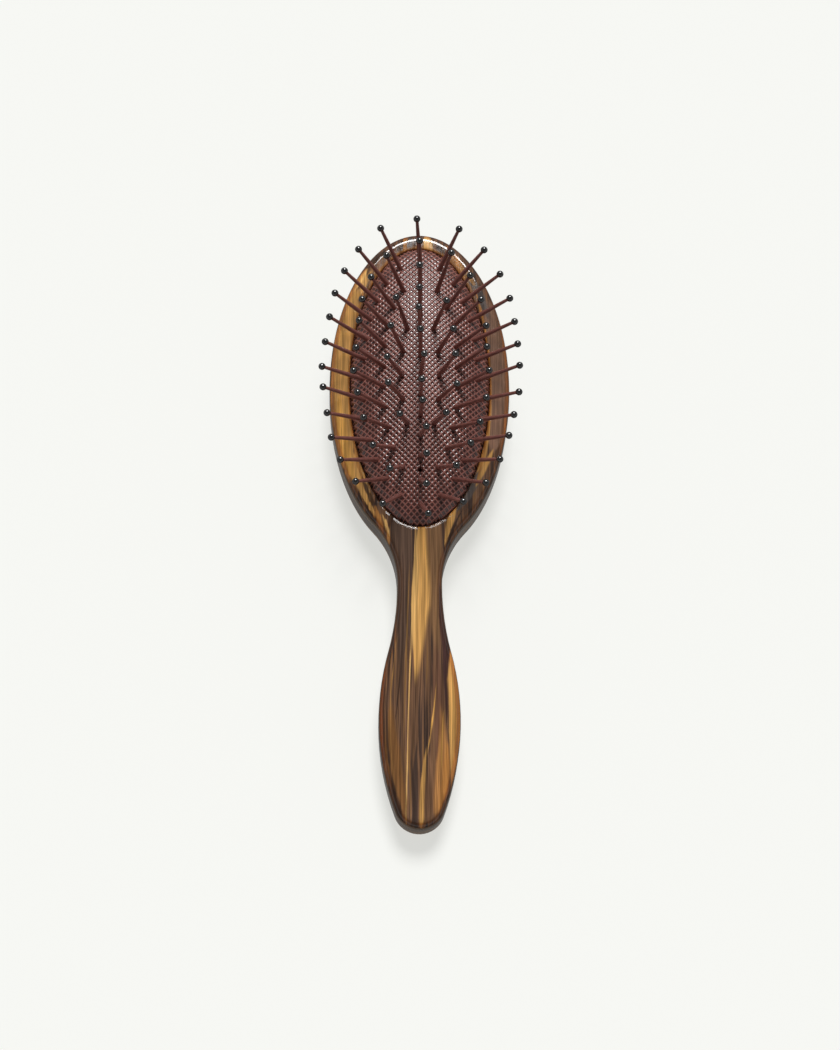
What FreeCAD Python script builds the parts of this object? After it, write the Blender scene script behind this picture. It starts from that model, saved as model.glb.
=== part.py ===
"""Cushion brush: a one-piece streaked plastic head and handle, a rubber cushion and 69 ball-tipped pins.

Frame: +X to the right, +Y toward the head's end, +Z up, millimetres. The origin is on the flat back,
under the middle of the cushion.
"""
import math
import os

import FreeCAD
import Part
import Sketcher

Vector = FreeCAD.Vector

# Driving sizes in millimetres
SIZES = {
    # outline of the body: the waist lies past the cushion's middle, the grip past the waist, then the tail
    "head_half_width": 31.25,
    "head_half_length": 58.3,
    "waist_half_width": 7.6,
    "waist_distance": 72.0,
    "grip_half_width": 13.75,
    "grip_distance": 47.4,
    "grip_radius": 91.0,
    "tail_distance": 37.1,
    # thickness of the body
    "head_thickness": 15.0,
    "tail_drop": 3.0,
    "front_rounding": 3.0,
    "back_rounding": 3.5,
    "back_wall": 4.0,
    # seat of the cushion
    "rim_side": 7.05,
    "rim_end": 6.36,
    "rim_rounding": 0.7,
    "lip_thickness": 2.3,
    "groove_depth": 1.6,
    "bead_thickness": 2.0,
    "bead_clearance": 0.1,
    "cushion_clearance": 0.15,
    # cushion
    "cushion_rise": 10.3,
    "cushion_wall": 1.8,
    "vent_radius": 0.8,
    # pins
    "pin_reach": 18.2,
    "pin_shank_radius": 0.88,
    "pin_neck_radius": 0.56,
    "pin_shoulder": 0.6,
    "pin_foot_radius": 1.6,
    "pin_foot_edge": 0.4,
    "foot_clearance": 0.5,
    "hole_clearance": 0.08,
    "fan_depth": 11.8,
    "middle_pitch": 7.25,
    # ball tips
    "ball_radius": 1.22,
    "ball_clearance": 0.02,
}

# Where the outline's arcs start out, before the sketch's tangents settle them: a share of the head's
# half length or of the tail's distance for a radius, and degrees for an arc's two ends
START_NECK_SHARE = 0.7
START_FLANK_SHARE = 1.5
START_TAIL_SHARE = 0.05
HEAD_TURN_DEGREES = 146
NECK_TURN_DEGREES = (141, 180)
FLANK_TURN_DEGREES = (180, 195)
GRIP_TURN_DEGREES = (-21, 15)
TAIL_TURN_DEGREES = (202, 338)

# Shares and counts
SLOPE_START_SHARE = 1.02
SLOPE_CUT_SHARE = 2
NECK_LENGTH_SHARE = 1.5
HOLE_LENGTH_SHARE = 4
OUTER_RING_WIDTH_SHARE = 0.817
OUTER_RING_LENGTH_SHARE = 0.867
SECOND_RING_WIDTH_SHARE = 0.529
SECOND_RING_LENGTH_SHARE = 0.714
INNER_RING_WIDTH_SHARE = 0.266
INNER_RING_LENGTH_SHARE = 0.475
FAN_LENGTH_SHARE = 0.218
# how far the vent lies from the last middle pin toward the next pin below it
VENT_SPACING_SHARE = 0.6
OUTER_RING_COUNT = 28
SECOND_RING_COUNT = 22
INNER_RING_COUNT = 12
MIDDLE_COUNT = 9
RING_STEPS = 1440

# An edge is level if its direction rises by less than this share of its length
LEVEL_SHARE = 0.5

# Each pin stands a little off its fan line: it sways to the right at the rim and to the left at the
# middle, most at the head's end, and has a small lean that turns by a fixed step from pin to pin
PIN_SWAY_DEGREES = 5.6
PIN_LEAN_DEGREES = 2.2
PIN_LEAN_TURN_DEGREES = 137.5

doc = FreeCAD.newDocument("cushion_brush")
sheet = doc.addObject("Spreadsheet::Sheet", "sizes")
for line, (alias, number) in enumerate(SIZES.items(), start=1):
    sheet.set(f"A{line}", alias)
    sheet.set(f"B{line}", str(number))
    sheet.setAlias(f"B{line}", alias)
doc.recompute()


def size(alias):
    """The sheet's number for one size."""
    return float(getattr(sheet, alias))


# Expressions for sizes that follow from the driving ones
OPENING_HALF_WIDTH = "(sizes.head_half_width - sizes.rim_side)"
OPENING_HALF_LENGTH = "(sizes.head_half_length - sizes.rim_end)"
GROOVE_HALF_WIDTH = f"({OPENING_HALF_WIDTH} + sizes.groove_depth)"
GROOVE_HALF_LENGTH = f"({OPENING_HALF_LENGTH} + sizes.groove_depth)"
GROOVE_HEIGHT = "(sizes.bead_thickness + 2 * sizes.bead_clearance)"
GROOVE_FLOOR = f"(sizes.head_thickness - sizes.lip_thickness - {GROOVE_HEIGHT})"
BEAD_FLOOR = f"({GROOVE_FLOOR} + sizes.bead_clearance)"
DOME_FLOOR = "(sizes.head_thickness - sizes.rim_rounding)"
BEAD_HALF_WIDTH = f"({GROOVE_HALF_WIDTH} - sizes.bead_clearance)"
BEAD_HALF_LENGTH = f"({GROOVE_HALF_LENGTH} - sizes.bead_clearance)"
DOME_HALF_WIDTH = f"({OPENING_HALF_WIDTH} - sizes.cushion_clearance)"
DOME_HALF_LENGTH = f"({OPENING_HALF_LENGTH} - sizes.cushion_clearance)"
HOLE_RADIUS = "(sizes.pin_shank_radius + sizes.hole_clearance)"
FOOT_TOP = "(sizes.cushion_wall + sizes.foot_clearance)"
FOOT_RIM = f"({FOOT_TOP} + sizes.pin_foot_radius - sizes.pin_shank_radius)"
FOOT_FLOOR = f"({FOOT_RIM} + sizes.pin_foot_edge)"

# The same sizes as numbers, for the pins' places
head_thickness = size("head_thickness")
opening_half_width = size("head_half_width") - size("rim_side")
opening_half_length = size("head_half_length") - size("rim_end")
dome_half_width = opening_half_width - size("cushion_clearance")
dome_half_length = opening_half_length - size("cushion_clearance")
dome_floor = head_thickness - size("rim_rounding")
cushion_rise = size("cushion_rise")
outer_ring_half_width = OUTER_RING_WIDTH_SHARE * opening_half_width
second_ring_half_length = SECOND_RING_LENGTH_SHARE * opening_half_length
middle_reach = size("middle_pitch") * (MIDDLE_COUNT - 1) / 2
grip_reach = size("waist_distance") + size("grip_distance")
tail_reach = grip_reach + size("tail_distance")
GRIP_REACH = "sizes.waist_distance + sizes.grip_distance"
TAIL_REACH = f"{GRIP_REACH} + sizes.tail_distance"
vent_y = -middle_reach - VENT_SPACING_SHARE * (second_ring_half_length - middle_reach)


def origin_plane(body, role):
    """One of a body's own origin planes."""
    return next(f for f in body.Origin.OriginFeatures if f.Role == role)


def new_sketch(body, name, role, height=None):
    """A sketch on a body's own origin plane, raised by an expression if one is given."""
    sketch = body.newObject("Sketcher::SketchObject", name)
    sketch.AttachmentSupport = [(origin_plane(body, role), "")]
    sketch.MapMode = "FlatFace"
    if height:
        sketch.setExpression("AttachmentOffset.Base.z", height)
    doc.recompute()
    return sketch


def hold(sketch, name, expression, kind, *points):
    """Adds a sketch dimension between points or on a curve and binds it to an expression."""
    start = float(sheet.evalExpression(expression))
    index = sketch.addConstraint(Sketcher.Constraint(kind, *points, start))
    sketch.renameConstraint(index, name)
    sketch.setExpression("Constraints." + name, expression)


def tie(sketch, *constraint):
    """Adds a sketch constraint that has no dimension."""
    sketch.addConstraint(Sketcher.Constraint(*constraint))


def ellipse_axes(sketch, curve):
    """Shows an ellipse's long and short axes in its sketch and returns them."""
    before = len(sketch.Geometry)
    sketch.exposeInternalGeometry(curve)
    shown = range(before, len(sketch.Geometry))
    return [i for i in shown if isinstance(sketch.Geometry[i], Part.LineSegment)]


def hold_ellipse(sketch, curve, half_width, half_length):
    """Centres an upright ellipse on the sketch's origin and binds both its axes."""
    long_axis, short_axis = ellipse_axes(sketch, curve)
    tie(sketch, "Coincident", curve, 3, -1, 1)
    tie(sketch, "Vertical", long_axis)
    hold(sketch, "ellipse_length", f"2 * {half_length}", "Distance", long_axis)
    hold(sketch, "ellipse_width", f"2 * {half_width}", "Distance", short_axis)


def oval_sketch(body, name, height, half_width, half_length, start_width, start_length):
    """A whole upright ellipse on a level plane of a body."""
    sketch = new_sketch(body, name, "XY_Plane", height)
    ellipse = Part.Ellipse(Vector(0, start_length, 0), Vector(-start_width, 0, 0), Vector(0, 0, 0))
    curve = sketch.addGeometry(ellipse, False)
    hold_ellipse(sketch, curve, half_width, half_length)
    doc.recompute()
    return sketch


def round_arc(centre_x, centre_y, radius, turn, mirrored=False):
    """An arc between two angles in degrees, or its mirror image across the Y axis."""
    start, end = turn
    if mirrored:
        centre_x = -centre_x
        start, end = 180 - end, 180 - start
    circle = Part.Circle(Vector(centre_x, centre_y, 0), Vector(0, 0, 1), radius)
    return Part.ArcOfCircle(circle, math.radians(start), math.radians(end))


def body_outline(body):
    """The plan outline of tangent curves: an oval head, a hollow waist, a full grip and a round tail."""
    sketch = new_sketch(body, "outline", "XY_Plane")
    half_width = size("head_half_width")
    half_length = size("head_half_length")
    waist_y = -size("waist_distance")
    grip_y = -grip_reach
    grip_radius = size("grip_radius")
    neck_radius = START_NECK_SHARE * half_length
    flank_radius = START_FLANK_SHARE * half_length
    tail_radius = START_TAIL_SHARE * tail_reach

    oval = Part.Ellipse(Vector(0, half_length, 0), Vector(-half_width, 0, 0), Vector(0, 0, 0))
    head_turn = math.radians(HEAD_TURN_DEGREES)
    head = sketch.addGeometry(Part.ArcOfEllipse(oval, -head_turn, head_turn), False)
    hold_ellipse(sketch, head, "sizes.head_half_width", "sizes.head_half_length")
    tail_y = tail_radius - tail_reach
    tail = sketch.addGeometry(round_arc(0, tail_y, tail_radius, TAIL_TURN_DEGREES), False)
    tail_point = sketch.addGeometry(Part.Point(Vector(0, -tail_reach, 0)), True)
    tie(sketch, "PointOnObject", tail_point, 1, -2)
    tie(sketch, "PointOnObject", tail_point, 1, tail)

    for side, mirrored in (("right", False), ("left", True)):
        waist_x = size("waist_half_width")
        neck_x = waist_x + neck_radius
        flank_x = waist_x + flank_radius
        grip_x = size("grip_half_width") - grip_radius
        neck_arc = round_arc(neck_x, waist_y, neck_radius, NECK_TURN_DEGREES, mirrored)
        flank_arc = round_arc(flank_x, waist_y, flank_radius, FLANK_TURN_DEGREES, mirrored)
        grip_arc = round_arc(grip_x, grip_y, grip_radius, GRIP_TURN_DEGREES, mirrored)
        neck = sketch.addGeometry(neck_arc, False)
        flank = sketch.addGeometry(flank_arc, False)
        grip = sketch.addGeometry(grip_arc, False)
        # an arc's point 1 is its start and 2 its end, and a mirrored arc runs the other way
        first, last = (2, 1) if mirrored else (1, 2)
        tie(sketch, "Tangent", head, first, neck, first)
        tie(sketch, "Tangent", neck, last, flank, first)
        tie(sketch, "Tangent", flank, last, grip, last)
        tie(sketch, "Tangent", grip, first, tail, last)
        # a distance is counted toward +X, so the two sides name their points in opposite order
        origin = (-1, 1)
        hold(sketch, f"neck_{side}_y", "sizes.waist_distance", "DistanceY", neck, 3, *origin)
        hold(sketch, f"flank_{side}_y", "sizes.waist_distance", "DistanceY", flank, 3, *origin)
        waist_points = (neck, last, *origin) if mirrored else (*origin, neck, last)
        hold(sketch, f"waist_{side}_x", "sizes.waist_half_width", "DistanceX", *waist_points)
        hold(sketch, f"grip_{side}_y", GRIP_REACH, "DistanceY", grip, 3, *origin)
        hold(sketch, f"grip_{side}_radius", "sizes.grip_radius", "Radius", grip)
        grip_points = (*origin, grip, 3) if mirrored else (grip, 3, *origin)
        grip_inset = "sizes.grip_radius - sizes.grip_half_width"
        hold(sketch, f"grip_{side}_x", grip_inset, "DistanceX", *grip_points)
    hold(sketch, "tail_y", TAIL_REACH, "DistanceY", tail_point, 1, -1, 1)
    doc.recompute()
    return sketch


def front_slope(body):
    """The side view of what is cut off the front: a long arc that falls from the neck to the tail."""
    sketch = new_sketch(body, "front_slope", "YZ_Plane")
    start_y = -SLOPE_START_SHARE * size("head_half_length")
    end_y = -tail_reach
    top = SLOPE_CUT_SHARE * head_thickness
    run = start_y - end_y
    drop = size("tail_drop")
    radius = (run * run + drop * drop) / (2 * drop)
    half_turn = math.degrees(math.asin(run / radius))
    circle = Part.Circle(Vector(start_y, head_thickness - radius, 0), Vector(0, 0, 1), radius)
    slope = sketch.addGeometry(
        Part.ArcOfCircle(circle, math.radians(90), math.radians(90 + half_turn)), False
    )
    corners = [
        Vector(start_y, head_thickness, 0),
        Vector(start_y, top, 0),
        Vector(end_y, top, 0),
        Vector(end_y, head_thickness - drop, 0),
    ]
    sides = [
        sketch.addGeometry(Part.LineSegment(corners[i], corners[i + 1]), False) for i in range(3)
    ]
    tie(sketch, "Coincident", slope, 1, sides[0], 1)
    tie(sketch, "Coincident", sides[0], 2, sides[1], 1)
    tie(sketch, "Coincident", sides[1], 2, sides[2], 1)
    tie(sketch, "Coincident", sides[2], 2, slope, 2)
    tie(sketch, "Vertical", sides[0])
    tie(sketch, "Horizontal", sides[1])
    tie(sketch, "Vertical", sides[2])
    tie(sketch, "Vertical", slope, 3, slope, 1)
    slope_start = f"{SLOPE_START_SHARE} * sizes.head_half_length"
    slope_foot = "sizes.head_thickness - sizes.tail_drop"
    hold(sketch, "slope_start", slope_start, "DistanceX", slope, 1, -1, 1)
    hold(sketch, "slope_end", TAIL_REACH, "DistanceX", slope, 2, -1, 1)
    hold(sketch, "slope_top", "sizes.head_thickness", "DistanceY", -1, 1, slope, 1)
    hold(sketch, "slope_foot", slope_foot, "DistanceY", -1, 1, slope, 2)
    cut_top = f"{SLOPE_CUT_SHARE} * sizes.head_thickness"
    hold(sketch, "cut_top", cut_top, "DistanceY", -1, 1, sides[1], 1)
    doc.recompute()
    return sketch


def edges_that(shape, wanted):
    """Names of the edges of a shape that a test picks."""
    return [f"Edge{i}" for i, edge in enumerate(shape.Edges, start=1) if wanted(edge)]


def middle_of(edge):
    """The point halfway along an edge."""
    return edge.valueAt((edge.FirstParameter + edge.LastParameter) / 2)


def round_edges(body, name, base, edges, radius):
    """A fillet on some edges of a body's last feature."""
    fillet = body.newObject("PartDesign::Fillet", name)
    fillet.Base = (base, edges)
    fillet.setExpression("Radius", radius)
    doc.recompute()
    return fillet


def make_brush_body():
    """The head and handle in one piece, with the air chamber and the groove for the cushion's bead."""
    body = doc.addObject("PartDesign::Body", "brush_body")
    body.Label = "brush_body"
    outline = body_outline(body)
    blank = body.newObject("PartDesign::Pad", "blank")
    blank.Profile = outline
    blank.setExpression("Length", "sizes.head_thickness")
    doc.recompute()
    slope = front_slope(body)
    fall = body.newObject("PartDesign::Pocket", "front_fall")
    fall.Profile = slope
    fall.Type = "ThroughAll"
    fall.Midplane = True
    doc.recompute()

    half_height = head_thickness / 2
    start_y = -SLOPE_START_SHARE * size("head_half_length")

    def on_front(edge):
        point = middle_of(edge)
        on_joint = all(abs(v.Point.y - start_y) < size("bead_clearance") for v in edge.Vertexes)
        level = abs(edge.tangentAt(edge.FirstParameter).z) < LEVEL_SHARE
        return point.z > half_height and level and not (on_joint and len(edge.Vertexes) == 2)

    def on_back(edge):
        return middle_of(edge).z < size("bead_clearance")

    front = round_edges(
        body, "front_edge", fall, edges_that(fall.Shape, on_front), "sizes.front_rounding"
    )
    back = round_edges(
        body, "back_edge", front, edges_that(front.Shape, on_back), "sizes.back_rounding"
    )

    chamber_oval = oval_sketch(
        body,
        "chamber_oval",
        "sizes.head_thickness",
        OPENING_HALF_WIDTH,
        OPENING_HALF_LENGTH,
        opening_half_width,
        opening_half_length,
    )
    chamber = body.newObject("PartDesign::Pocket", "air_chamber")
    chamber.Profile = chamber_oval
    chamber.setExpression("Length", "sizes.head_thickness - sizes.back_wall")
    doc.recompute()
    groove_oval = oval_sketch(
        body,
        "groove_oval",
        f"{GROOVE_FLOOR} + {GROOVE_HEIGHT}",
        GROOVE_HALF_WIDTH,
        GROOVE_HALF_LENGTH,
        opening_half_width + size("groove_depth"),
        opening_half_length + size("groove_depth"),
    )
    groove = body.newObject("PartDesign::Pocket", "bead_groove")
    groove.Profile = groove_oval
    groove.setExpression("Length", GROOVE_HEIGHT)
    doc.recompute()

    def around_opening(edge):
        return edge.Closed and abs(middle_of(edge).z - head_thickness) < size("bead_clearance")

    round_edges(
        body, "rim_edge", groove, edges_that(groove.Shape, around_opening), "sizes.rim_rounding"
    )
    return body


def oval_block(name, half_width, half_length, floor, height):
    """An upright oval block with its middle on the Z axis."""
    oval = doc.addObject("Part::Ellipse", name + "_oval")
    oval.setExpression("MajorRadius", half_length)
    oval.setExpression("MinorRadius", half_width)
    oval.Placement = FreeCAD.Placement(Vector(0, 0, 0), FreeCAD.Rotation(Vector(0, 0, 1), 90))
    oval.setExpression("Placement.Base.z", floor)
    block = doc.addObject("Part::Extrusion", name)
    block.Base = oval
    block.DirMode = "Custom"
    block.Dir = Vector(0, 0, 1)
    block.setExpression("LengthFwd", height)
    block.Solid = True
    return block


def half_dome(name, half_width, half_length, rise):
    """The upper half of an ellipsoid that stands just under the rim, with its poles at the two ends."""
    dome = doc.addObject("Part::Ellipsoid", name)
    dome.Angle1 = -90
    dome.Angle2 = 90
    dome.Angle3 = 180
    dome.setExpression("Radius1", half_length)
    dome.setExpression("Radius2", half_width)
    dome.setExpression("Radius3", rise)
    dome.Placement = FreeCAD.Placement(Vector(0, 0, 0), FreeCAD.Rotation(Vector(1, 0, 0), 90))
    dome.setExpression("Placement.Base.z", DOME_FLOOR)
    return dome


def join(kind, name, first, second):
    """A boolean of two objects."""
    made = doc.addObject(kind, name)
    made.Base = first
    made.Tool = second
    return made


def dome_height(x, y):
    """The height of the cushion's outer face above a point."""
    inside = 1 - (x / dome_half_width) ** 2 - (y / dome_half_length) ** 2
    return dome_floor + cushion_rise * math.sqrt(inside)


def ring_stations(half_width, half_length, count):
    """Points spread evenly along an oval, from its head end round to the right."""
    step = 2 * math.pi / RING_STEPS
    walk = [0.0]
    for i in range(RING_STEPS):
        angle = (i + 0.5) * step
        walk.append(
            walk[-1] + step * math.hypot(half_width * math.cos(angle), half_length * math.sin(angle))
        )
    stations = []
    i = 0
    for n in range(count):
        target = walk[-1] * n / count
        while walk[i + 1] <= target:
            i += 1
        angle = step * (i + (target - walk[i]) / (walk[i + 1] - walk[i]))
        stations.append((half_width * math.sin(angle), half_length * math.cos(angle)))
    return stations


def pin_rows():
    """The pins' base points in plan, row by row from the head end to the handle.

    A long row has a pair of the outer ring and one pin of the middle line, and a short row has a pair
    of the second ring. The inner pairs go with the rows that they stand nearest to.
    """
    outer = ring_stations(
        outer_ring_half_width,
        OUTER_RING_LENGTH_SHARE * opening_half_length,
        OUTER_RING_COUNT,
    )
    second = ring_stations(
        SECOND_RING_WIDTH_SHARE * opening_half_width,
        second_ring_half_length,
        SECOND_RING_COUNT,
    )
    inner = ring_stations(
        INNER_RING_WIDTH_SHARE * opening_half_width,
        INNER_RING_LENGTH_SHARE * opening_half_length,
        INNER_RING_COUNT,
    )
    middle = [(0.0, middle_reach - size("middle_pitch") * n) for n in range(MIDDLE_COUNT)]
    line = [outer[0], second[0], *middle]
    line += [second[SECOND_RING_COUNT // 2], outer[OUTER_RING_COUNT // 2]]

    rows = []
    for n in range(1, OUTER_RING_COUNT // 2):
        rows.append([outer[n], outer[-n], line[n - 1]])
    for n in range(1, SECOND_RING_COUNT // 2):
        rows.append([second[n], second[-n]])
    rows.sort(key=lambda row: -row[0][1])
    for n in range(1, INNER_RING_COUNT // 2):
        nearest = min(rows, key=lambda row: abs(row[0][1] - inner[n][1]))
        nearest += [inner[n], inner[-n]]
    return rows


def pin_direction(x, y, number):
    """Which way a pin points: away from a line under the cushion, with its sway and its own lean."""
    fan_line = head_thickness - size("fan_depth")
    fan = Vector(x, FAN_LENGTH_SHARE * y, dome_height(x, y) - fan_line).normalize()
    wave = math.cos(math.pi * x / outer_ring_half_width)
    sway = -math.tan(math.radians(PIN_SWAY_DEGREES)) * wave * y / dome_half_length
    lean = math.tan(math.radians(PIN_LEAN_DEGREES))
    turn = math.radians(PIN_LEAN_TURN_DEGREES * number)
    off_line = Vector(sway + lean * math.cos(turn), lean * math.sin(turn), 0)
    return (fan + off_line).normalize()


def pin_placements():
    """Where each pin of each row stands: its base on the cushion's face, its own Z along the pin."""
    up = Vector(0, 0, 1)
    number = 0
    rows = []
    for row in pin_rows():
        places = []
        for x, y in row:
            base = Vector(x, y, dome_height(x, y))
            places.append(FreeCAD.Placement(base, FreeCAD.Rotation(up, pin_direction(x, y, number))))
            number += 1
        rows.append(places)
    return rows


def hole_tool(name, place, radius):
    """A cylinder that cuts one hole through the cushion's wall along its own Z."""
    tool = doc.addObject("Part::Cylinder", name)
    tool.setExpression("Radius", radius)
    tool.setExpression("Height", f"{HOLE_LENGTH_SHARE} * sizes.cushion_wall")
    start = place.multVec(Vector(0, 0, -HOLE_LENGTH_SHARE * size("cushion_wall") / 2))
    tool.Placement = FreeCAD.Placement(start, place.Rotation)
    return tool


def make_cushion(rows):
    """The rubber dome with its skirt and bead, the holes for the pins and the vent."""
    outer = half_dome("dome_outside", DOME_HALF_WIDTH, DOME_HALF_LENGTH, "sizes.cushion_rise")
    bead = oval_block(
        "bead_block", BEAD_HALF_WIDTH, BEAD_HALF_LENGTH, BEAD_FLOOR, "sizes.bead_thickness"
    )
    inner_half_width = f"{DOME_HALF_WIDTH} - sizes.cushion_wall"
    inner_half_length = f"{DOME_HALF_LENGTH} - sizes.cushion_wall"
    inner = half_dome(
        "dome_inside", inner_half_width, inner_half_length, "sizes.cushion_rise - sizes.cushion_wall"
    )
    bore_floor = f"({BEAD_FLOOR} - sizes.bead_thickness)"
    bore = oval_block(
        "skirt_bore", inner_half_width, inner_half_length, bore_floor, f"{DOME_FLOOR} - {bore_floor}"
    )
    skirt = oval_block(
        "skirt_block", DOME_HALF_WIDTH, DOME_HALF_LENGTH, BEAD_FLOOR, f"{DOME_FLOOR} - {BEAD_FLOOR}"
    )
    edge = join("Part::Fuse", "cushion_edge", skirt, bead)
    full = join("Part::Fuse", "cushion_full", outer, edge)
    air = join("Part::Fuse", "cushion_air", inner, bore)
    shell = join("Part::Cut", "cushion_shell", full, air)
    places = [place for row in rows for place in row]
    tools = []
    for n, place in enumerate(places, start=1):
        tools.append(hole_tool(f"pin_hole_{n:02d}", place, HOLE_RADIUS))
    vent_base = Vector(0, vent_y, dome_height(0, vent_y))
    vent_place = FreeCAD.Placement(vent_base, FreeCAD.Rotation())
    tools.append(hole_tool("vent_hole", vent_place, "sizes.vent_radius"))
    holes = doc.addObject("Part::Compound", "cushion_holes")
    holes.Links = tools
    pad = join("Part::Cut", "cushion_pad", shell, holes)
    pad.Label = "cushion_pad"
    return pad


def make_pin():
    """One pin on its own Z axis, base on the cushion's face: foot, shank, tapered shaft and neck."""
    body = doc.addObject("PartDesign::Body", "pin")
    sketch = new_sketch(body, "pin_profile", "XZ_Plane")
    reach = "sizes.pin_reach"
    neck_start = f"({reach} - {NECK_LENGTH_SHARE} * sizes.ball_radius)"
    # corners of the half section as (radius, height) expressions, from the foot's middle up
    corners = [
        ("0", f"-{FOOT_FLOOR}"),
        ("sizes.pin_foot_radius", f"-{FOOT_FLOOR}"),
        ("sizes.pin_foot_radius", f"-{FOOT_RIM}"),
        ("sizes.pin_shank_radius", f"-{FOOT_TOP}"),
        ("sizes.pin_shank_radius", "sizes.pin_shoulder"),
        ("sizes.pin_neck_radius", neck_start),
        ("sizes.pin_neck_radius", reach),
        ("0", reach),
    ]
    points = [Vector(sheet.evalExpression(r), sheet.evalExpression(z), 0) for r, z in corners]
    count = len(points)
    lines = [
        sketch.addGeometry(Part.LineSegment(points[i], points[(i + 1) % count]), False)
        for i in range(count)
    ]
    for i in range(count):
        tie(sketch, "Coincident", lines[i], 2, lines[(i + 1) % count], 1)
    for i, (radius, height) in enumerate(corners):
        if radius == "0":
            tie(sketch, "PointOnObject", lines[i], 1, -2)
        else:
            hold(sketch, f"radius_{i}", radius, "DistanceX", -1, 1, lines[i], 1)
        hold(sketch, f"height_{i}", height, "DistanceY", -1, 1, lines[i], 1)
    doc.recompute()
    turned = body.newObject("PartDesign::Revolution", "pin_turned")
    turned.Profile = sketch
    turned.ReferenceAxis = (sketch, ["V_Axis"])
    turned.Angle = 360
    doc.recompute()
    return body


def make_ball():
    """One ball tip in the pin's own frame, with a blind bore that takes the pin's neck."""
    ball = doc.addObject("Part::Sphere", "ball_round")
    ball.setExpression("Radius", "sizes.ball_radius")
    ball.setExpression("Placement.Base.z", "sizes.pin_reach")
    bore = doc.addObject("Part::Cylinder", "ball_bore")
    bore.setExpression("Radius", "sizes.pin_neck_radius + sizes.ball_clearance")
    bore.setExpression("Height", "2 * sizes.ball_radius + sizes.ball_clearance")
    bore.setExpression("Placement.Base.z", "sizes.pin_reach - 2 * sizes.ball_radius")
    return join("Part::Cut", "ball", ball, bore)


def make_row(label, master, places):
    """One row of copies of a pin or a ball, as separate solids in one sub-part."""
    copies = []
    for n, place in enumerate(places, start=1):
        copy = doc.addObject("App::Link", f"{label}_{n}")
        copy.LinkedObject = master
        copy.LinkTransform = True
        copy.Placement = place
        copies.append(copy)
    row = doc.addObject("Part::Compound", label)
    row.Label = label
    row.Links = copies
    return row


rows = pin_placements()
pin = make_pin()
ball = make_ball()
sub_parts = [make_brush_body(), make_cushion(rows)]
for n, places in enumerate(rows, start=1):
    sub_parts.append(make_row(f"pin_row_{n:02d}", pin, places))
for n, places in enumerate(rows, start=1):
    sub_parts.append(make_row(f"tip_row_{n:02d}", ball, places))
doc.recompute()

for item in doc.Objects:
    if "Invalid" in item.State or "Error" in item.State:
        raise RuntimeError(f"{item.Label} did not rebuild")
os.makedirs("parts", exist_ok=True)
for item in sub_parts:
    shape = item.Shape
    if shape.isNull() or not shape.isValid() or not shape.Solids:
        raise RuntimeError(f"{item.Label} has no valid solid")
    shape.exportStep(f"parts/{item.Label}.step")
    print(item.Label, len(shape.Solids), round(shape.Volume, 1), shape.BoundBox)
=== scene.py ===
"""Looks of the cushion brush: streaked polished plastic, a diamond-patterned rubber cushion, nylon pins."""

import math
from collections import namedtuple

import bmesh
import bpy
import numpy as np
from mathutils import Matrix, Vector


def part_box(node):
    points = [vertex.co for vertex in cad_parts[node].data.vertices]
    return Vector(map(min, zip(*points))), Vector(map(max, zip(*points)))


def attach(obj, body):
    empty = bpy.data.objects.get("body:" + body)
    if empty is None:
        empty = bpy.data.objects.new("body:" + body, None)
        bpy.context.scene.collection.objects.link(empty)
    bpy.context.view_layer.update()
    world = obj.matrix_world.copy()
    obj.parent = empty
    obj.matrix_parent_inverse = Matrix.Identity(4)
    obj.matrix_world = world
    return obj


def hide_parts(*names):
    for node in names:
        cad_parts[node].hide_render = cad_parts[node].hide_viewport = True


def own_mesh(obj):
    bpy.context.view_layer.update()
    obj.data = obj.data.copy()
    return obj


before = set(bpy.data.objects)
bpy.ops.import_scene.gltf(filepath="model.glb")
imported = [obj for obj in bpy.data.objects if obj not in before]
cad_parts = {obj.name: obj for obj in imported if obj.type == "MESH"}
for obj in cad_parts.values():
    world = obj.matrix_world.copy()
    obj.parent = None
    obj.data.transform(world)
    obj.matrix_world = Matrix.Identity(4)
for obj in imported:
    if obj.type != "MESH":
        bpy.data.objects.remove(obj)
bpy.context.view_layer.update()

MM = 0.001
DIAGONAL = math.sqrt(2)

# Sizes of the cushion, in millimetres, from its solid's box and the bead that stands out round its foot
PAD_LOW, PAD_HIGH = (np.array(corner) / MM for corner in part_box("cushion_pad"))
BEAD_OVERHANG = 1.65
BEAD_THICKNESS = 2.0
BEAD_CORNER = 0.5
PAD_HALF_WIDTH = PAD_HIGH[0] - BEAD_OVERHANG
PAD_HALF_LENGTH = PAD_HIGH[1] - BEAD_OVERHANG
PAD_RISE = 10.3
PAD_FLOOR = PAD_HIGH[2] - PAD_RISE
SKIRT_WALL = 0.6
SKIRT_POINTS = 200

# Vent of the cushion, in millimetres, and how far round it its open edges are looked for, in lip radii
VENT_Y = -33.85
VENT_RADIUS = 0.95
VENT_LIP = 0.15
VENT_LIP_DROP = 0.075
VENT_DEPTH = 4.0
VENT_POINTS = 32
VENT_SEARCH_SHARE = 2.0

# Diamond pattern of the cushion, in millimetres: thin ridges along both diagonals and flat pits between
# them, with the share of the pits' depth at each step from one ridge to the next. The pattern goes a few
# steps past the cushion's edge and is then cut off level.
RIDGE_PITCH = 1.43
RIDGE_HALF_WIDTH = 0.08
PIT_EDGE = 0.27
PIT_DEPTH = 0.3
PIT_SHARES = (0.0, 0.85, 1.0, 1.0, 1.0, 0.85)
SPARE_STEPS = 3

# Camera, found from the outline and the pins' places in the photo, in millimetres
CAMERA_AIM = (0.04, -51.5, 15.0)
CAMERA_TILT = math.radians(20.0)
CAMERA_PAN = math.radians(1.6)
CAMERA_ROLL = math.radians(0.52)
CAMERA_DISTANCE = 1000.0
CAMERA_LENS = 100.7

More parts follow.
